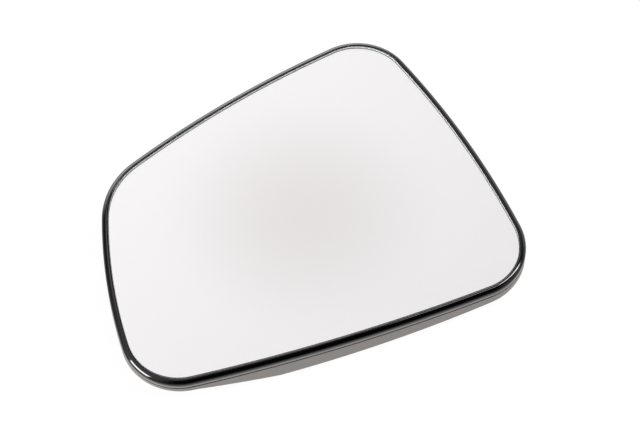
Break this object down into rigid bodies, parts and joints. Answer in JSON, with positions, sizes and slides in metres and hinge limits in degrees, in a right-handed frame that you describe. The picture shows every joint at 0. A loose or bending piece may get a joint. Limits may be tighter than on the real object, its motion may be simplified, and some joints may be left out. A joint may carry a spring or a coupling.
{
  "type": "car door mirror glass",
  "caption": "Convex mirror pane in a black moulded carrier with a bead rim and a shallow skirt; a ring and snap hooks behind it clip to the door mirror's adjuster.",
  "frame": {"origin": "centre of the locating ring's end face, on the plane that the part rests on", "axes": "+Z out of the pane along the ring's axis, +X along the lower edge towards the wide end, +Y towards the upper edge"},
  "size_m": [0.1762, 0.1409, 0.0175],
  "materials": {
    "silvered_glass": "silvered convex float glass with a ground edge",
    "foam": "double-sided foam bonding pad",
    "black_plastic": "moulded black plastic, glossy on the bead and satin on the skirt"
  },
  "bodies": {
    "root": {"mirror_glass": "silvered_glass", "adhesive_pad": "foam", "carrier": "black_plastic"}
  },
  "joints": []
}
